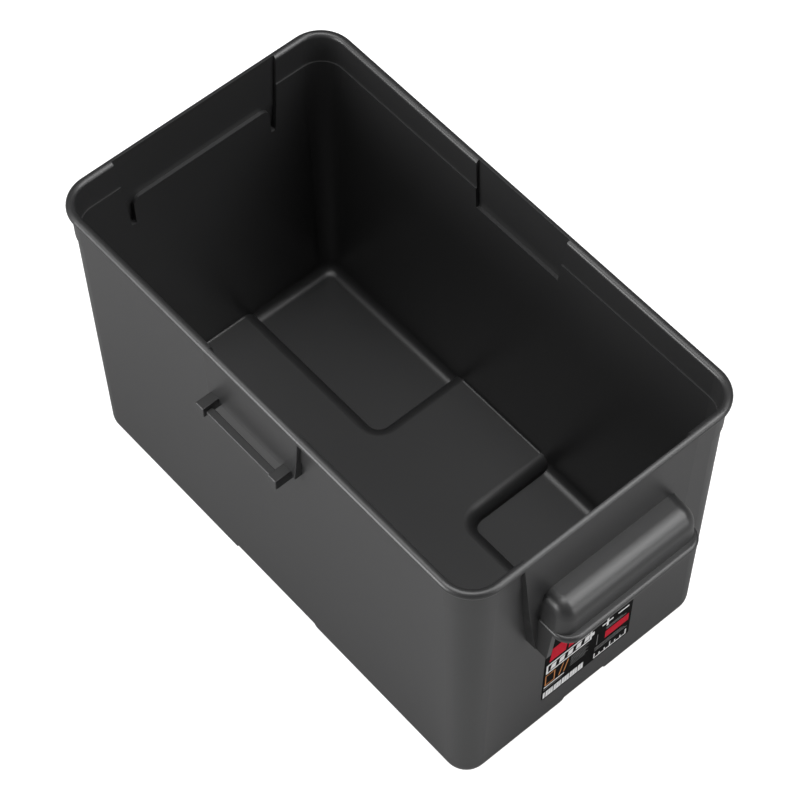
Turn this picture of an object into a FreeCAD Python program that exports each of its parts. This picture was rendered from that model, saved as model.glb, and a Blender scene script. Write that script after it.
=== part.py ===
"""Battery box: an open moulded tub that holds one battery, with a hooded handle
on each end wall and a strap loop on each long wall.

The frame: origin on the resting plane below the middle of the tub, +X along its
length, +Y across it, +Z up. Sizes are in millimetres.
"""
import FreeCAD, Part
import math
import os

import Sketcher

X_AXIS = FreeCAD.Vector(1, 0, 0)
Y_AXIS = FreeCAD.Vector(0, 1, 0)
Z_AXIS = FreeCAD.Vector(0, 0, 1)
ORIGIN = FreeCAD.Vector(0, 0, 0)
NEARLY_ZERO = 1e-3

SIZES = {
    # rim, walls and corners
    "rim_length": 370.0,
    "rim_width": 212.1,
    "total_height": 235.0,
    "rim_corner": 23.65,
    "rim_thickness": 5.72,
    "rim_round": 2.80,
    "rim_overhang": 2.5,
    "wall_taper": 1.3,
    "wall_jog": 0.8,
    "jog_level": 208.5,
    # cavity
    "cavity_taper": 1.72,
    "cavity_jog_level": 212.0,
    "pad_level": 3.2,
    "pad_fillet": 7.0,
    "deck_level": 12.3,
    "deck_fillet": 1.6,
    # strap channels that cross below the floor, and the raised deck above them
    "channel_level": 9.1,
    "channel_fillet": 4.0,
    "foot_fillet": 12.0,
    "foot_block_top": 24.0,
    "channel_slope": 5.0,
    "lengthwise_channel": 18.5,
    "crosswise_channel": 39.5,
    "lengthwise_deck": 25.7,
    "crosswise_deck": 46.0,
    "deck_corner": 8.0,
    "deck_edge_round": 8.9,
    # flush panels in the middle of the long walls
    "panel_taper_out": 0.9,
    "edge_round": 0.6,
    "long_panel_bottom": 193.2,
    "long_panel_low_half": 39.0,
    "long_panel_top_half": 42.0,
    "long_recess_bottom": 195.6,
    "long_recess_low_half": 36.1,
    "long_recess_top_half": 39.5,
    "recess_lip": 3.3,
    "recess_lean": 1.95,
    # flush panels in the middle of the end walls, with a hollow post at each side
    "end_panel_bottom": 190.4,
    "end_panel_low_half": 61.7,
    "end_panel_top_half": 65.3,
    "end_recess_bottom": 194.6,
    "end_recess_low_half": 58.9,
    "end_recess_top_half": 62.3,
    "post_knee_level": 171.3,
    "post_knee_half": 60.0,
    "post_foot_level": 134.3,
    "post_foot_half": 54.8,
    "post_knee_stand": 0.5,
    "post_foot_stand": 1.2,
    "slot_inner_half": 53.2,
    "slot_bottom": 172.3,
    "slot_low_half": 56.8,
    "slot_lean": 0.9,
    "ledge_corner": 6.0,
    # hooded handles
    "hood_reach": 206.4,
    "hood_top_reach": 205.8,
    "hood_half_width": 53.4,
    "hood_top_half": 50.8,
    "hood_top": 192.9,
    "hood_crown": 12.0,
    "hood_end_round": 8.5,
    "hood_wall": 3.2,
    "bead_top": 169.0,
    "bead_height": 5.2,
    "bead_reach": 211.0,
    "bead_half_width": 54.3,
    "bead_corner": 12.0,
    "bead_round": 2.1,
    "leg_thickness": 3.7,
    "leg_low_reach": 195.3,
    "leg_top_reach": 198.6,
    # strap loops
    "lug_inner": 29.0,
    "lug_outer": 36.1,
    "lug_reach": 118.4,
    "lug_bottom": 190.6,
    "lug_top": 198.8,
    "lug_edge": 0.6,
    "lug_root": 4.0,
    "bar_inner_reach": 111.4,
    "bar_outer_reach": 116.4,
    "bar_top": 195.0,
    "bar_edge": 0.5,
    # label
    "label_near": 37.0,
    "label_far": 35.0,
    "label_bottom": 34.5,
    "label_top": 112.0,
    "label_corner": 2.0,
    "label_thickness": 0.25,
}

doc = FreeCAD.newDocument("battery_box")
sheet = doc.addObject("Spreadsheet::Sheet", "Sizes")
for row, (alias, number) in enumerate(SIZES.items(), start=1):
    sheet.set(f"A{row}", alias)
    sheet.set(f"B{row}", str(number))
    sheet.setAlias(f"B{row}", alias)
doc.recompute()


def linked(formula):
    """The formula with each name of a size pointing at its cell in the sheet."""
    for alias in sorted(SIZES, key=len, reverse=True):
        formula = formula.replace(f"<{alias}>", f"Sizes.{alias}")
    return formula


def number(formula):
    """The present value of a formula, in millimetres."""
    return float(sheet.evalExpression(linked(formula)))


def bind(obj, **formulas):
    """Bind properties of an object to formulas; two underscores stand for a dot."""
    for path, formula in formulas.items():
        obj.setExpression(path.replace("__", "."), linked(formula))
    return obj


def box(name, x, y, z):
    """A box between pairs of formulas along each axis."""
    made = doc.addObject("Part::Box", name)
    return bind(made, Length=f"({x[1]}) - ({x[0]})", Width=f"({y[1]}) - ({y[0]})",
                Height=f"({z[1]}) - ({z[0]})", Placement__Base__x=x[0],
                Placement__Base__y=y[0], Placement__Base__z=z[0])


def wedge(name, z, low_x, low_y, top_x, top_y):
    """A block whose rectangle changes evenly from its bottom to its top."""
    made = doc.addObject("Part::Wedge", name)
    made.Placement = FreeCAD.Placement(ORIGIN, FreeCAD.Rotation(X_AXIS, 90))
    spans = {"Xmin": low_x[0], "Xmax": low_x[1], "X2min": top_x[0], "X2max": top_x[1],
             "Ymin": z[0], "Ymax": z[1],
             "Zmin": f"-({low_y[1]})", "Zmax": f"-({low_y[0]})",
             "Z2min": f"-({top_y[1]})", "Z2max": f"-({top_y[0]})"}
    for edge, start in (("Xmin", -9.0), ("Ymin", -9.0), ("Zmin", -9.0), ("X2min", -9.0),
                        ("Z2min", -9.0), ("Xmax", 9.0), ("Ymax", 9.0), ("Zmax", 9.0),
                        ("X2max", 9.0), ("Z2max", 9.0)):
        setattr(made, edge, start)
    return bind(made, **spans)


def fuse(name, *shapes):
    made = doc.addObject("Part::MultiFuse", name)
    made.Shapes = list(shapes)
    made.Refine = True
    return made


def cut(name, base, tool):
    made = doc.addObject("Part::Cut", name)
    made.Base = base
    made.Tool = tool
    made.Refine = True
    return made


def mirrored(name, source, normal):
    made = doc.addObject("Part::Mirroring", name)
    made.Source = source
    made.Normal = normal
    return made


def rounded(name, base, radius, wanted):
    """Round the edges of the base that the test wanted(edge) picks."""
    doc.recompute()
    size = number(radius)
    picked = [i for i, edge in enumerate(base.Shape.Edges, start=1) if wanted(edge)]
    if not picked:
        raise RuntimeError(f"{name}: no edge to round")
    made = doc.addObject("Part::Fillet", name)
    made.Base = base
    made.Edges = [(i, size, size) for i in picked]
    return made


def at_level(formula):
    """A test for edges that lie wholly in one horizontal plane."""
    level = number(formula)

    def wanted(edge):
        span = edge.BoundBox
        return abs(span.ZMin - level) < NEARLY_ZERO and abs(span.ZMax - level) < NEARLY_ZERO
    return wanted


def plan(name, low_x, high_x, half_y, corner, level, square_back=False):
    """A sketch of a rectangle with rounded corners, about the X axis.

    With square_back the two corners at low_x stay square.
    """
    x0, x1, hy, r = number(low_x), number(high_x), number(half_y), number(corner)
    back = 0.0 if square_back else r
    vec = FreeCAD.Vector
    sketch = doc.addObject("Sketcher::SketchObject", name)
    sketch.addGeometry([
        Part.LineSegment(vec(x0 + back, -hy, 0), vec(x1 - r, -hy, 0)),
        Part.LineSegment(vec(x1, -hy + r, 0), vec(x1, hy - r, 0)),
        Part.LineSegment(vec(x1 - r, hy, 0), vec(x0 + back, hy, 0)),
        Part.LineSegment(vec(x0, hy - back, 0), vec(x0, -hy + back, 0))], False)
    centres = [(x1 - r, -hy + r, -90), (x1 - r, hy - r, 0)]
    if not square_back:
        centres += [(x0 + r, hy - r, 90), (x0 + r, -hy + r, 180)]
    sketch.addGeometry([
        Part.ArcOfCircle(Part.Circle(vec(cx, cy, 0), Z_AXIS, r),
                         math.radians(turn), math.radians(turn + 90))
        for cx, cy, turn in centres], False)
    start, end = 1, 2
    rules = [Sketcher.Constraint("Horizontal", 0), Sketcher.Constraint("Vertical", 1),
             Sketcher.Constraint("Horizontal", 2), Sketcher.Constraint("Vertical", 3)]
    for side in range(4):
        after = (side + 1) % 4
        arc = 4 + side
        if side < len(centres):
            rules.append(Sketcher.Constraint("Tangent", side, end, arc, start))
            rules.append(Sketcher.Constraint("Tangent", arc, end, after, start))
        else:
            rules.append(Sketcher.Constraint("Coincident", side, end, after, start))
    for arc in range(5, 4 + len(centres)):
        rules.append(Sketcher.Constraint("Equal", 4, arc))
    sketch.addConstraint(rules)
    measures = [
        ("Length", Sketcher.Constraint("DistanceX", 3, start, 1, start, x1 - x0),
         f"({high_x}) - ({low_x})"),
        ("Reach", Sketcher.Constraint("DistanceX", -1, 1, 1, start, x1), high_x),
        ("Near", Sketcher.Constraint("DistanceY", 0, start, -1, 1, hy), half_y),
        ("Far", Sketcher.Constraint("DistanceY", -1, 1, 2, start, hy), half_y),
        ("Corner", Sketcher.Constraint("Radius", 4, r), corner)]
    for label, rule, formula in measures:
        sketch.renameConstraint(sketch.addConstraint(rule), label)
        sketch.setExpression(f"Constraints.{label}", linked(formula))
    return bind(sketch, Placement__Base__z=level)


def raised(name, sketch, height, taper="0"):
    """The sketch carried upwards; a taper above zero widens it on the way."""
    made = doc.addObject("Part::Extrusion", name)
    made.Base = sketch
    made.DirMode = "Normal"
    made.Solid = True
    return bind(made, LengthFwd=height, TaperAngle=taper)


def walled(name, inset, level, height, taper="0"):
    """A block with the rim's plan drawn in by an inset, standing at a level."""
    half_length = f"(<rim_length> / 2 - ({inset}))"
    sketch = plan(name + "_plan", f"-{half_length}", half_length,
                  f"<rim_width> / 2 - ({inset})", f"<rim_corner> - ({inset})", level)
    return raised(name, sketch, height, taper)


# ---------------------------------------------------------------- outer form
SLOPE_OUT = "tan(<wall_taper> * 1deg)"
SLOPE_IN = "tan(<cavity_taper> * 1deg)"
RIM_CENTRE = "(<total_height> - <rim_thickness> / 2)"


def wall_inset(level, jog="0"):
    """How far the outer wall stands in from the rim's edge at a level."""
    return f"<rim_overhang> + {jog} + {SLOPE_OUT} * ({RIM_CENTRE} - ({level}))"


def cavity_inset(level, jog="0"):
    """How far the cavity's wall stands in from the rim's edge at a level."""
    return f"<rim_thickness> + {jog} + {SLOPE_IN} * (<total_height> - ({level}))"


core_block = walled("core_block", wall_inset("<channel_level>", "<wall_jog>"),
                    "<channel_level>", "<jog_level> - <channel_level>", "<wall_taper>")
core = rounded("core", core_block, "<channel_fillet>", at_level("<channel_level>"))

foot_block = walled("foot_block", wall_inset("0", "<wall_jog>"), "0",
                    "<foot_block_top>", "<wall_taper>")
foot_form = rounded("foot_form", foot_block, "<foot_fillet>", at_level("0"))
LOW_SLOPE = "<channel_slope> * (<foot_block_top> + 2) / <channel_level>"
crosswise_channel = wedge(
    "crosswise_channel", ("-1", "<foot_block_top> + 1"),
    ("-(<crosswise_channel> + <channel_slope>)", "<crosswise_channel> + <channel_slope>"),
    ("-<rim_width>", "<rim_width>"),
    (f"-(<crosswise_channel> + <channel_slope> - {LOW_SLOPE})",
     f"<crosswise_channel> + <channel_slope> - {LOW_SLOPE}"),
    ("-<rim_width>", "<rim_width>"))
lengthwise_channel = wedge(
    "lengthwise_channel", ("-1", "<foot_block_top> + 1"),
    ("-<rim_length>", "<rim_length>"),
    ("-(<lengthwise_channel> + <channel_slope>)", "<lengthwise_channel> + <channel_slope>"),
    ("-<rim_length>", "<rim_length>"),
    (f"-(<lengthwise_channel> + <channel_slope> - {LOW_SLOPE})",
     f"<lengthwise_channel> + <channel_slope> - {LOW_SLOPE}"))
channels = fuse("channels", crosswise_channel, lengthwise_channel)
feet = cut("feet", foot_form, channels)

collar = walled("collar", wall_inset("<jog_level>"), "<jog_level>",
                f"{RIM_CENTRE} - <jog_level>", "<wall_taper>")
rim_block = walled("rim_block", "0", "<total_height> - <rim_thickness>", "<rim_thickness>")
rim_bottom = at_level("<total_height> - <rim_thickness>")
rim_top = at_level("<total_height>")
rim = rounded("rim", rim_block, "<rim_round>", lambda edge: rim_bottom(edge) or rim_top(edge))
outer_form = fuse("outer_form", core, feet, collar, rim)

# ------------------------------------------------------------------- cavity
upper_block = walled("upper_block", cavity_inset("<deck_level>", "<wall_jog>"),
                     "<deck_level>", "<total_height> - <deck_level>", "<cavity_taper>")
upper_room = rounded("upper_room", upper_block, "<deck_fillet>", at_level("<deck_level>"))
mouth_room = walled("mouth_room", cavity_inset("<cavity_jog_level>"), "<cavity_jog_level>",
                    "<total_height> + 1 - <cavity_jog_level>", "<cavity_taper>")
pad_block = walled("pad_block", cavity_inset("<pad_level>", "<wall_jog>"), "<pad_level>",
                   "<foot_block_top> - <pad_level>", "<cavity_taper>")
pad_room = rounded("pad_room", pad_block, "<pad_fillet>", at_level("<pad_level>"))

crosswise_deck = box("crosswise_deck", ("-<crosswise_deck>", "<crosswise_deck>"),
                     ("-<rim_width>", "<rim_width>"), ("-1", "<deck_level>"))
lengthwise_deck = box("lengthwise_deck", ("-<rim_length>", "<rim_length>"),
                      ("-<lengthwise_deck>", "<lengthwise_deck>"), ("-1", "<deck_level>"))
deck_cross = fuse("deck_cross", crosswise_deck, lengthwise_deck)


def deck_inner_corner(edge):
    """An upright edge where the two arms of the deck meet."""
    span = edge.BoundBox
    upright = span.XLength + span.YLength < NEARLY_ZERO
    return upright and abs(span.XMin) < 0.4 * number("<rim_length>")


def near_centre(edge):
    """An edge of the deck's top that is not one of its far ends."""
    span = edge.BoundBox
    inside_x = abs(span.Center.x) < number("<rim_length>") - 1
    inside_y = abs(span.Center.y) < number("<rim_width>") - 1
    return inside_x and inside_y


deck_plan = rounded("deck_plan", deck_cross, "<deck_corner>", deck_inner_corner)
doc.recompute()
deck_top = at_level("<deck_level>")
deck_form = rounded("deck_form", deck_plan, "<deck_edge_round>",
                    lambda edge: deck_top(edge) and near_centre(edge))
CROSSWISE_FLAT = "(<crosswise_deck> - <deck_edge_round>)"
LENGTHWISE_FLAT = "(<lengthwise_deck> - <deck_edge_round>)"
crosswise_keep = box("crosswise_keep", (f"-{CROSSWISE_FLAT}", CROSSWISE_FLAT),
                     ("-<rim_width>", "<rim_width>"), ("0", "<foot_block_top> + 1"))
lengthwise_keep = box("lengthwise_keep", ("-<rim_length>", "<rim_length>"),
                      (f"-{LENGTHWISE_FLAT}", LENGTHWISE_FLAT), ("0", "<foot_block_top> + 1"))
deck_keep = fuse("deck_keep", deck_form, crosswise_keep, lengthwise_keep)
pads = cut("pads", pad_room, deck_keep)
cavity = fuse("cavity", upper_room, mouth_room, pads)
# ------------------------------------------- flush panels and their recesses
LONG_EDGE = "(<rim_width> / 2)"
END_EDGE = "(<rim_length> / 2)"
INSIDE = "20"
ROOT = "10"
GRIP_HALF = "(<hood_half_width> - <hood_wall>)"


def panel(name, axis, low_half, top_half, bottom, lean):
    """A panel flush with the rim's edge that leans out towards its bottom."""
    edge = LONG_EDGE if axis == "y" else END_EDGE
    across = ((f"-({low_half})", low_half), (f"-({top_half})", top_half))
    outward = ((f"{edge} - {ROOT}", f"{edge} + {lean}"), (f"{edge} - {ROOT}", edge))
    levels = (bottom, RIM_CENTRE)
    if axis == "y":
        return wedge(name, levels, across[0], outward[0], across[1], outward[1])
    return wedge(name, levels, outward[0], across[0], outward[1], across[1])


def recess(name, axis, low_half, top_half, bottom):
    """The room behind a panel, open to the cavity and to the top."""
    edge = LONG_EDGE if axis == "y" else END_EDGE
    face = f"{edge} - <recess_lip>"
    across = ((f"-({low_half})", low_half), (f"-({top_half})", top_half))
    outward = ((f"{edge} - {INSIDE}", f"{face} - <recess_lean>"), (f"{edge} - {INSIDE}", face))
    levels = (bottom, "<total_height>")
    if axis == "y":
        return wedge(name, levels, across[0], outward[0], across[1], outward[1])
    return wedge(name, levels, outward[0], across[0], outward[1], across[1])


long_panel = panel("long_panel", "y", "<long_panel_low_half>", "<long_panel_top_half>",
                   "<long_panel_bottom>", "<panel_taper_out>")
end_panel = panel("end_panel", "x", "<end_panel_low_half>", "<end_panel_top_half>",
                  "<end_panel_bottom>", "<panel_taper_out>")


def long_panel_edge(edge):
    """A side or bottom edge of the panel's outer face."""
    on_face = edge.BoundBox.YMin > number(LONG_EDGE) - 0.01
    return on_face and not at_level(RIM_CENTRE)(edge)


panel_back = rounded("panel_back", long_panel, "<edge_round>", long_panel_edge)
panel_front = mirrored("panel_front", panel_back, Y_AXIS)


def post(name, low, top, low_half, top_half, low_stand, top_stand):
    """One stretch of the hollow post beside a handle, on the +Y side."""
    back = f"{END_EDGE} - {ROOT}"
    return wedge(name, (low, top),
                 (back, f"{END_EDGE} + {low_stand}"), (GRIP_HALF, low_half),
                 (back, f"{END_EDGE} + {top_stand}"), (GRIP_HALF, top_half))


post_upper = post("post_upper", "<post_knee_level>", "<end_panel_bottom>", "<post_knee_half>",
                  "<end_panel_low_half>", "<panel_taper_out> + <post_knee_stand>",
                  "<panel_taper_out>")
post_lower = post("post_lower", "<post_foot_level>", "<post_knee_level>", "<post_foot_half>",
                  "<post_knee_half>", "<panel_taper_out> + <post_foot_stand>",
                  "<panel_taper_out> + <post_knee_stand>")
post_far = fuse("post_far", post_upper, post_lower)
post_near = mirrored("post_near", post_far, Y_AXIS)
right_panel = fuse("right_panel", end_panel, post_far, post_near)
left_panel = mirrored("left_panel", right_panel, X_AXIS)
tub_form = fuse("tub_form", outer_form, panel_back, panel_front, right_panel, left_panel)
plain_tub = cut("plain_tub", tub_form, cavity)


def rim_inner(edge):
    """An edge of the mouth, inside the rim's flat top."""
    span = edge.BoundBox
    half = number("<rim_length> / 2 - <rim_thickness>") + 0.05
    return rim_top(edge) and max(abs(span.XMin), abs(span.XMax)) < half


rimmed_tub = rounded("rimmed_tub", plain_tub, "<rim_round>", rim_inner)

back_recess = recess("back_recess", "y", "<long_recess_low_half>", "<long_recess_top_half>",
                     "<long_recess_bottom>")
front_recess = mirrored("front_recess", back_recess, Y_AXIS)
end_recess = recess("end_recess", "x", "<end_recess_low_half>", "<end_recess_top_half>",
                    "<end_recess_bottom>")
RECESS_FACE = f"{END_EDGE} - <recess_lip> - <recess_lean>"
slot_far = wedge("slot_far", ("<slot_bottom>", "<end_recess_bottom>"),
                 (f"{END_EDGE} - {INSIDE}", f"{RECESS_FACE} + <slot_lean>"),
                 ("<slot_inner_half>", "<slot_low_half>"),
                 (f"{END_EDGE} - {INSIDE}", RECESS_FACE),
                 ("<slot_inner_half>", "<end_recess_low_half>"))
slot_near = mirrored("slot_near", slot_far, Y_AXIS)
right_hollow = fuse("right_hollow", end_recess, slot_far, slot_near)


def ledge_corner(edge):
    """The corner where the ledge behind the panel turns down into a slot."""
    span = edge.BoundBox
    level = abs(span.ZMin - number("<end_recess_bottom>")) < NEARLY_ZERO and span.ZLength < NEARLY_ZERO
    beside = abs(abs(span.YMin) - number("<slot_inner_half>")) < NEARLY_ZERO
    return level and beside and span.YLength < NEARLY_ZERO


right_recess = rounded("right_recess", right_hollow, "<ledge_corner>", ledge_corner)
left_recess = mirrored("left_recess", right_recess, X_AXIS)
recesses = fuse("recesses", back_recess, front_recess, right_recess, left_recess)
tub = cut("tub", rimmed_tub, recesses)

# ------------------------------------------------------------ hooded handles
BACK = f"({END_EDGE} - {ROOT})"
BEAD_BOTTOM = "(<bead_top> - <bead_height>)"


def crowned(name, bottom, inset, crown, end_round):
    """A block against the end wall, drawn in by an inset from the hood's outside.

    Its front and ends lean in towards the top; the long upper edge has the crown's
    radius, and the outline of each end a smaller one.
    """
    top = f"<hood_top> - {inset}"
    low_half, top_half = f"<hood_half_width> - {inset}", f"<hood_top_half> - {inset}"
    block = wedge(name + "_block", (bottom, top),
                  (BACK, f"<hood_reach> - {inset}"), (f"-({low_half})", low_half),
                  (BACK, f"<hood_top_reach> - {inset}"), (f"-({top_half})", top_half))
    front = number(f"<hood_top_reach> - {inset}") - 0.01
    end = number(top_half) - 0.01
    behind = number(BACK) + 0.01

    def long_upper_edge(edge):
        return at_level(top)(edge) and edge.BoundBox.XMin > front

    def end_outline(edge):
        span = edge.BoundBox
        on_end = span.YMin > end or span.YMax < -end
        return on_end and span.XMax > behind and not at_level(bottom)(edge)

    crowned_block = rounded(name + "_crown", block, crown, long_upper_edge)
    return rounded(name, crowned_block, end_round, end_outline)


dome = crowned("dome", BEAD_BOTTOM, "0", "<hood_crown>", "<hood_end_round>")
bead_block = raised("bead_block",
                    plan("bead_plan", BACK, "<bead_reach>", "<bead_half_width>",
                         "<bead_corner>", BEAD_BOTTOM, square_back=True), "<bead_height>")


def bead_edge(edge):
    """A long edge of the bead, top or bottom, except those inside the wall."""
    return edge.BoundBox.ZLength < NEARLY_ZERO and edge.BoundBox.XMax > number(BACK) + 0.01


bead = rounded("bead", bead_block, "<bead_round>", bead_edge)
LEG_SIDES = ("<bead_half_width> - <leg_thickness>", "<bead_half_width>")
leg_far = wedge("leg_far", ("<post_foot_level>", "<bead_top> - <bead_height> / 2"),
                (BACK, "<leg_low_reach>"), LEG_SIDES, (BACK, "<leg_top_reach>"), LEG_SIDES)
leg_near = mirrored("leg_near", leg_far, Y_AXIS)
hood_solid = fuse("hood_solid", dome, bead, leg_far, leg_near)
grip_room = crowned("grip_room", f"{BEAD_BOTTOM} - 1", "<hood_wall>",
                    "<hood_crown> - <hood_wall>", "<hood_end_round> - <hood_wall>")
hood_shell = cut("hood_shell", hood_solid, grip_room)
hood_right = cut("handle_hood_right", hood_shell, tub_form)
hood_left = mirrored("handle_hood_left", hood_right, X_AXIS)

# -------------------------------------------------------------- strap loops
lug_block = box("lug_block", ("<lug_inner>", "<lug_outer>"),
                ("-<lug_reach>", f"-({LONG_EDGE} - <lug_root>)"), ("<lug_bottom>", "<lug_top>"))
eased_lug = rounded("eased_lug", lug_block, "<lug_edge>", lambda edge: True)
lug_front_right = cut("strap_lug_front_right", eased_lug, tub_form)
lug_front_left = mirrored("strap_lug_front_left", lug_front_right, X_AXIS)
lug_back_right = mirrored("strap_lug_back_right", lug_front_right, Y_AXIS)
lug_back_left = mirrored("strap_lug_back_left", lug_front_left, Y_AXIS)


def along_bar(edge):
    """A long edge of the bar."""
    return edge.BoundBox.XLength > 1


bar_block = box("bar_block", ("-<lug_inner>", "<lug_inner>"),
                ("-<bar_outer_reach>", "-<bar_inner_reach>"), ("<lug_bottom>", "<bar_top>"))
bar_front = rounded("strap_bar_front", bar_block, "<bar_edge>", along_bar)
bar_back = mirrored("strap_bar_back", bar_front, Y_AXIS)

# -------------------------------------------------------------------- label
label_sheet = box("label_sheet", ("0", "<label_thickness>"), ("-<label_near>", "<label_far>"),
                  ("<label_bottom>", "<label_top>"))
label_sheet.Placement = FreeCAD.Placement(ORIGIN, FreeCAD.Rotation(Y_AXIS, 1.0))
bind(label_sheet, Placement__Rotation__Angle="<wall_taper> * 1deg",
     Placement__Base__x=f"{END_EDGE} - ({wall_inset('<label_bottom>', '<wall_jog>')})")


def label_corner(edge):
    """A short edge through the sheet's thickness."""
    return edge.Length < number("<label_thickness>") + 0.01


label = rounded("label", label_sheet, "<label_corner>", label_corner)

# ------------------------------------------------------------------- output
NODES = {"tub": tub, "handle_hood_right": hood_right, "handle_hood_left": hood_left,
         "strap_lug_front_right": lug_front_right, "strap_lug_front_left": lug_front_left,
         "strap_lug_back_right": lug_back_right, "strap_lug_back_left": lug_back_left,
         "strap_bar_front": bar_front, "strap_bar_back": bar_back, "label": label}

doc.recompute()
for obj in doc.Objects:
    if "Invalid" in obj.State or "Error" in obj.State:
        raise RuntimeError(f"{obj.Name} failed: {obj.State}")

os.makedirs("parts", exist_ok=True)
for node, obj in NODES.items():
    obj.Label = node
    if obj.Shape.isNull() or not obj.Shape.isValid():
        raise RuntimeError(f"{node} has no valid shape")
    span = obj.Shape.optimalBoundingBox(False)
    print(f"{node}: {len(obj.Shape.Solids)} solid(s), {obj.Shape.Volume / 1000:.1f} cm3, "
          f"x {span.XMin:.1f}..{span.XMax:.1f}, y {span.YMin:.1f}..{span.YMax:.1f}, "
          f"z {span.ZMin:.1f}..{span.ZMax:.1f}")
    obj.Shape.exportStep(f"parts/{node}.step")
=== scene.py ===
"""The looks of an open moulded battery box: its plastic, its label, the light and the camera.

Everything is in metres in the row's frame: origin below the middle of the tub on the plane of
the feet, +X along its length, +Y across it, +Z up.
"""
import math

import bmesh
import bpy
from mathutils import Matrix, Vector


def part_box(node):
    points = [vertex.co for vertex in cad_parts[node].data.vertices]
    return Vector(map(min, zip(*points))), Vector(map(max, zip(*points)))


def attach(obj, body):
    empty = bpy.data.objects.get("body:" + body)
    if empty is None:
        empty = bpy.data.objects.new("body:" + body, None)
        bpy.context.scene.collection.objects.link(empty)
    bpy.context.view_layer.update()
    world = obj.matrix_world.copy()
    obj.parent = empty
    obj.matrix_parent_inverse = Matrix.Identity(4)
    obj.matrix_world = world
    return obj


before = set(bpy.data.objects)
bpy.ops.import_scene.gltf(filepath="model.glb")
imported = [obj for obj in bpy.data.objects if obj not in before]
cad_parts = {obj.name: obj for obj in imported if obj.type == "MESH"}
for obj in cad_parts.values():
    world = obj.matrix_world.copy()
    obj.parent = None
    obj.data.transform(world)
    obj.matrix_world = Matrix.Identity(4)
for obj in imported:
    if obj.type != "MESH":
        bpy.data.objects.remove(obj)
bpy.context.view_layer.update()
RIM_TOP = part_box("tub")[1].z


# ------------------------------------------------------------------ materials
GRAIN_SCALE, FLOW_SCALE, MOTTLE_SCALE = 1400.0, 9.0, 900.0    # noise cells in a metre
GRAIN_BUMP, MOTTLE_BUMP = 0.06, 0.03
BUMP_DEPTH = 0.0002
FLOW_LOW, FLOW_HIGH = 0.35, 0.65                              # the noise's usual span
TINT_SWING, GLOSS_SWING = 0.04, 0.02
INK_DARKER, INK_LIGHTER = 0.92, 1.06
INK_ROUGHNESS, INK_SHINE = 0.45, 0.02


class Nodes:
    """A short way to write a material's nodes."""

    def __init__(self, name):
        self.material = bpy.data.materials.new(name)
        self.material.use_nodes = True
        self.tree = self.material.node_tree
        self.shader = self.tree.nodes["Principled BSDF"]

    def add(self, kind, **inputs):
        """A new node, its inputs linked to a socket or set to a value."""
        node = self.tree.nodes.new(kind)
        for key, value in inputs.items():
            key = key.replace("_", " ")
            if isinstance(value, bpy.types.NodeSocket):
                self.tree.links.new(value, node.inputs[key])
            else:
                node.inputs[key].default_value = value
        return node

    def link(self, output, target):
        self.tree.links.new(output, target)

    def tint(self, colour, factor, darker, lighter):
        """A ramp on the base colour, from a darker to a lighter shade of one colour."""
        ramp = self.tree.nodes.new("ShaderNodeValToRGB")
        for stop, shade in zip(ramp.color_ramp.elements, (darker, lighter)):
            stop.color = (*[min(1.0, c * shade) for c in colour], 1)
        self.link(factor, ramp.inputs["Fac"])
        self.link(ramp.outputs["Color"], self.shader.inputs["Base Color"])
        return ramp

    def bump(self, height, strength):
        node = self.add("ShaderNodeBump", Height=height, Strength=strength, Distance=BUMP_DEPTH)
        self.link(node.outputs["Normal"], self.shader.inputs["Normal"])


def moulded_plastic(name, colour, roughness):
    """Satin polypropylene: a fine moulded grain, faint flow variation."""
    made = Nodes(name)
    place = made.add("ShaderNodeTexCoord").outputs["Object"]
    grain = made.add("ShaderNodeTexNoise", Vector=place, Scale=GRAIN_SCALE, Detail=2.0, Roughness=0.6)
    flow = made.add("ShaderNodeTexNoise", Vector=place, Scale=FLOW_SCALE, Detail=2.0, Roughness=0.5)
    ramp = made.tint(colour, flow.outputs["Fac"], 1 - TINT_SWING, 1 + TINT_SWING)
    for stop, position in zip(ramp.color_ramp.elements, (FLOW_LOW, FLOW_HIGH)):
        stop.position = position
    gloss = made.add("ShaderNodeMapRange", Value=flow.outputs["Fac"],
                     To_Min=roughness - GLOSS_SWING, To_Max=roughness + GLOSS_SWING)
    made.link(gloss.outputs["Result"], made.shader.inputs["Roughness"])
    made.bump(grain.outputs["Fac"], GRAIN_BUMP)
    return made.material


def printed(name, colour):
    """Ink or film: nearly flat, with a faint mottle in its colour and its surface."""
    made = Nodes(name)
    place = made.add("ShaderNodeTexCoord").outputs["Object"]
    mottle = made.add("ShaderNodeTexNoise", Vector=place, Scale=MOTTLE_SCALE, Detail=2.0)
    made.tint(colour, mottle.outputs["Fac"], INK_DARKER, INK_LIGHTER)
    made.shader.inputs["Roughness"].default_value = INK_ROUGHNESS
    made.shader.inputs["Specular IOR Level"].default_value = INK_SHINE
    made.bump(mottle.outputs["Fac"], MOTTLE_BUMP)
    return made.material


shell = moulded_plastic("shell_plastic", (0.018, 0.018, 0.0184), 0.38)
film = printed("label_film", (0.0012, 0.0011, 0.0011))
for node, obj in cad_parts.items():
    obj.data.materials.clear()
    obj.data.materials.append(film if node == "label" else shell)

# ------------------------------------------------------------- label's print
INKS = [printed("ink_white", (0.66, 0.66, 0.66)), printed("ink_red", (0.46, 0.012, 0.028)),
        printed("ink_orange", (0.48, 0.20, 0.07)), printed("ink_grey", (0.16, 0.16, 0.16))]
WHITE, RED, ORANGE, GREY = range(len(INKS))
WALL_LEAN = math.tan(math.radians(1.3))
INK_PROUD, INK_ROOT = 0.05, 0.08
label_low, label_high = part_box("label")
print_mesh = bmesh.new()


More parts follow.
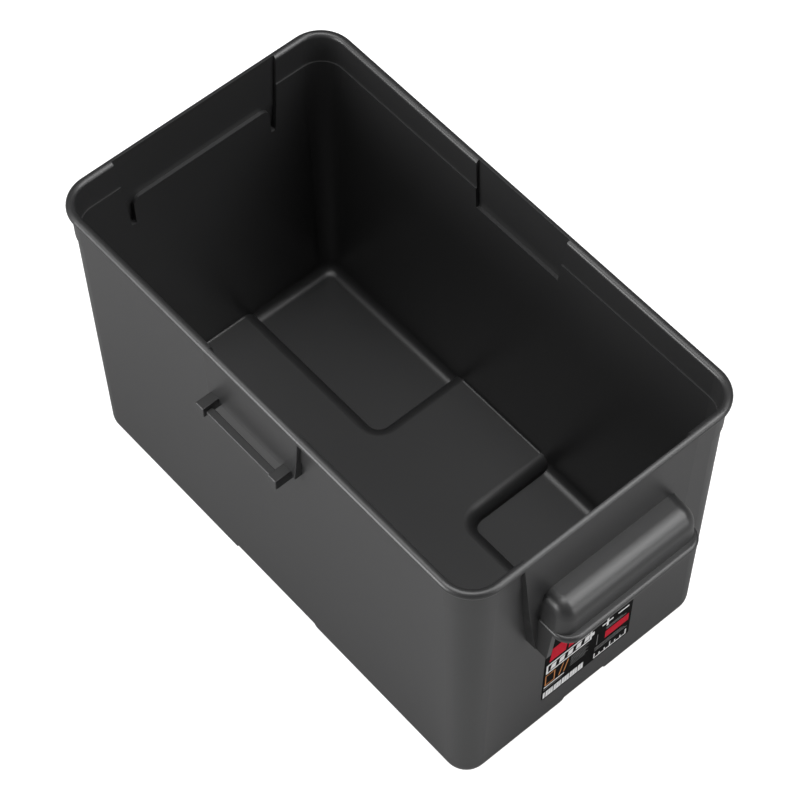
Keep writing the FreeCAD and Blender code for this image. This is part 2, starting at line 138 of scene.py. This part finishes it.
def on_label(y, z, proud):
    """A point of the label's face, from millimetres across, up and out of it."""
    face = label_high.x - (label_high.z - z / 1000) * WALL_LEAN
    return Vector((face + proud / 1000, y / 1000, z / 1000))


def mark(outline, ink):
    """A flat printed shape: its outline runs counter-clockwise seen from outside."""
    front = [print_mesh.verts.new(on_label(y, z, INK_PROUD)) for y, z in outline]
    back = [print_mesh.verts.new(on_label(y, z, -INK_ROOT)) for y, z in outline]
    count = len(outline)
    faces = [print_mesh.faces.new(front), print_mesh.faces.new(back[::-1])]
    for i in range(count):
        j = (i + 1) % count
        faces.append(print_mesh.faces.new((front[j], front[i], back[i], back[j])))
    for face in faces:
        face.material_index = ink


def bar(low_y, high_y, low_z, high_z, ink, slant=0.0):
    """A bar between two widths and two levels, its top shifted along by a slant."""
    mark([(low_y, low_z), (high_y, low_z), (high_y + slant, high_z), (low_y + slant, high_z)], ink)


def frame_mark(low_y, high_y, low_z, high_z, stroke, ink):
    """A rectangle's outline, drawn as four bars."""
    bar(low_y, high_y, low_z, low_z + stroke, ink)
    bar(low_y, high_y, high_z - stroke, high_z, ink)
    bar(low_y, low_y + stroke, low_z + stroke, high_z - stroke, ink)
    bar(high_y - stroke, high_y, low_z + stroke, high_z - stroke, ink)


def middle_bar(low_y, high_y, middle, half, ink, slant=0.0):
    """A bar that reaches as far above a level as below it."""
    bar(low_y, high_y, middle - half, middle + half, ink, slant)


def rules(low_y, ends, first, pitch, thick):
    """Grey lines one above the other, which start at one width and end at the given ones."""
    for line, high_y in enumerate(ends):
        bar(low_y, high_y, first + pitch * line, first + pitch * line + thick, GREY)


# two red bands in the upper row and one at the right
RED_LOW, RED_HIGH, RED_SLANT = 81.0, 96.0, 1.5
bar(-33.5, -20.5, RED_LOW, RED_HIGH, RED, RED_SLANT)
bar(-18.5, 20.0, RED_LOW, RED_HIGH, RED, RED_SLANT)
bar(13.5, 33.0, 53.5, 62.0, RED)
# a battery in outline, with its terminal and its cells
BATTERY_MIDDLE, BATTERY_HALF, BATTERY_STROKE = 72.5, 5.5, 1.5
CELLS, CELL_START, CELL_PITCH, CELL_WIDTH = 5, -32.0, 6.8, 4.0
frame_mark(-35.5, 1.5, BATTERY_MIDDLE - BATTERY_HALF, BATTERY_MIDDLE + BATTERY_HALF,
           BATTERY_STROKE, WHITE)
middle_bar(1.5, 3.5, BATTERY_MIDDLE, 2.0, WHITE)
for cell in range(CELLS):
    cell_start = CELL_START + CELL_PITCH * cell
    middle_bar(cell_start, cell_start + CELL_WIDTH, BATTERY_MIDDLE, 2.8, WHITE, slant=0.8)
# a plus and a minus
SIGN_MIDDLE, SIGN_HALF_STROKE, PLUS_HALF = 73.0, 0.8, 4.5
middle_bar(10.0, 19.0, SIGN_MIDDLE, SIGN_HALF_STROKE, WHITE)
bar(13.7, 15.3, SIGN_MIDDLE - PLUS_HALF, SIGN_MIDDLE - SIGN_HALF_STROKE, WHITE)
bar(13.7, 15.3, SIGN_MIDDLE + SIGN_HALF_STROKE, SIGN_MIDDLE + PLUS_HALF, WHITE)
middle_bar(23.0, 32.0, SIGN_MIDDLE, SIGN_HALF_STROKE, WHITE)
# thin orange strokes
ORANGE_LOW, ORANGE_HIGH = 52.5, 65.0
frame_mark(-35.5, -27.5, ORANGE_LOW, ORANGE_HIGH, 0.8, ORANGE)
for stroke_start in (-24.5, -20.5):
    bar(stroke_start, stroke_start + 0.9, ORANGE_LOW, ORANGE_HIGH, ORANGE, slant=3.0)
# ruled grey lines
rules(-15.0, (-2.5, -0.5, -2.5, -0.5, -2.5, -0.5), 53.0, 2.2, 0.6)
bar(6.6, 7.2, 53.0, 66.0, GREY)
bar(14.0, 30.5, 64.2, 65.0, GREY)
bar(14.0, 27.0, 66.0, 66.8, GREY)
rules(5.5, (32.5, 30.5, 28.5), 45.6, 1.8, 0.6)
bar(-36.0, -19.5, 49.6, 50.8, WHITE)
bar(-36.0, -21.5, 47.2, 47.9, GREY)
# a white field of upright bars, every third one narrower
FIELD_START, FIELD_END, BARS = -36.0, -3.0, 15
WIDE_SHARE, NARROW_SHARE = 0.9, 0.72
pitch = (FIELD_END - FIELD_START) / BARS
for stripe in range(BARS):
    wide = pitch * (WIDE_SHARE if stripe % 3 else NARROW_SHARE)
    start = FIELD_START + stripe * pitch
    bar(start, start + wide, 36.0, 43.5, WHITE)
# a scale of ticks, every third one taller
TICKS, TICK_START, TICK_PITCH, TICK_LOW = 7, 5.5, 4.33, 37.2
bar(TICK_START, 32.5, 36.2, TICK_LOW, WHITE)
for tick in range(TICKS):
    start = TICK_START + TICK_PITCH * tick
    bar(start, start + 1.0, TICK_LOW, 40.0 if tick % 3 else 42.5, WHITE)

print_data = bpy.data.meshes.new("label_print")
print_mesh.to_mesh(print_data)
print_mesh.free()
for ink in INKS:
    print_data.materials.append(ink)
label_print = bpy.data.objects.new("label_print", print_data)
bpy.context.scene.collection.objects.link(label_print)
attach(label_print, "root")

# ---------------------------------------------------------------- floor, light
FLOOR_SIZE = 40
FLOOR_DROP = 0.0002          # keeps the floor clear of the feet's faces
FLOOR_SHADE = 0.35           # what the plastic mirrors
FLOOR_GLOW = 0.9             # what the camera sees on top of it
WORLD_DIM, WORLD_BRIGHT = 0.02, 1.0
bpy.ops.mesh.primitive_plane_add(size=FLOOR_SIZE, location=(0, 0, -FLOOR_DROP))
floor = bpy.context.object
floor.name = "floor"
paper = Nodes("paper")
paper.shader.inputs["Base Color"].default_value = (FLOOR_SHADE, FLOOR_SHADE, FLOOR_SHADE, 1)
paper.shader.inputs["Roughness"].default_value = 1.0
paper.shader.inputs["Specular IOR Level"].default_value = 0.0
paper.shader.inputs["Emission Color"].default_value = (1, 1, 1, 1)
glow = paper.add("ShaderNodeMath", Value=FLOOR_GLOW)
glow.operation = "MULTIPLY"
paper.link(paper.add("ShaderNodeLightPath").outputs["Is Camera Ray"], glow.inputs[1])
paper.link(glow.outputs[0], paper.shader.inputs["Emission Strength"])
floor.data.materials.append(paper.material)

world = bpy.data.worlds.new("studio")
bpy.context.scene.world = world
world.use_nodes = True
backdrop = world.node_tree.nodes["Background"]
backdrop.inputs["Color"].default_value = (1, 1, 1, 1)
world_seen = world.node_tree.nodes.new("ShaderNodeLightPath").outputs["Is Camera Ray"]
brightness = world.node_tree.nodes.new("ShaderNodeMapRange")
brightness.inputs["To Min"].default_value = WORLD_DIM
brightness.inputs["To Max"].default_value = WORLD_BRIGHT
world.node_tree.links.new(world_seen, brightness.inputs["Value"])
world.node_tree.links.new(brightness.outputs["Result"], backdrop.inputs["Strength"])
bpy.context.scene.view_settings.view_transform = "Standard"

CAMERA_SIDE = Vector((0.759, -0.651, 0.0))
RIGHT_HAND = Vector((0.656, 0.754, 0.0)).normalized()
LAMP_DISTANCE = 2.5


def softbox(name, bearing, height, size, power):
    """A round lamp that faces the box; bearing 0 is the camera's side, 90 its right hand."""
    lamp = bpy.data.lights.new(name, "AREA")
    lamp.shape = "DISK"
    lamp.size = size
    lamp.energy = power
    obj = bpy.data.objects.new(name, lamp)
    bpy.context.scene.collection.objects.link(obj)
    around, up = math.radians(bearing), math.radians(height)
    level = CAMERA_SIDE * math.cos(around) + RIGHT_HAND * math.sin(around)
    aim = level * math.cos(up) + Vector((0, 0, math.sin(up)))
    obj.location = aim * LAMP_DISTANCE + Vector((0, 0, RIM_TOP / 2))
    obj.rotation_euler = aim.to_track_quat("Z", "Y").to_euler()


softbox("left_low", -66, 10, 1.4, 64.0)
softbox("left_middle", -90, 32, 1.3, 9.0)
softbox("left_high", -88, 62, 1.5, 23.0)
softbox("right_low", 60, 9, 1.3, 16.0)
softbox("right_middle", 76, 42, 1.5, 37.0)
softbox("right_high", 92, 63, 1.4, 22.0)
softbox("front_high", -30, 68, 1.3, 9.0)
softbox("overhead", 0, 89.9, 1.2, 25.0)

# --------------------------------------------------------------------- camera
CAMERA_PLACE = Vector((0.72945, -0.61988, 1.57545))
CAMERA_AIM = Vector((-0.0005, 0.0060, 0.1175))
CAMERA_ROLL = math.radians(-0.50)
lens = bpy.data.cameras.new("camera")
lens.lens = 129.23
lens.sensor_width = 36.0
camera = bpy.data.objects.new("camera", lens)
bpy.context.scene.collection.objects.link(camera)
turn = (CAMERA_PLACE - CAMERA_AIM).to_track_quat("Z", "Y").to_matrix()
rolled = (turn @ Matrix.Rotation(CAMERA_ROLL, 3, "Z")).to_4x4()
camera.matrix_world = Matrix.Translation(CAMERA_PLACE) @ rolled
bpy.context.scene.camera = camera
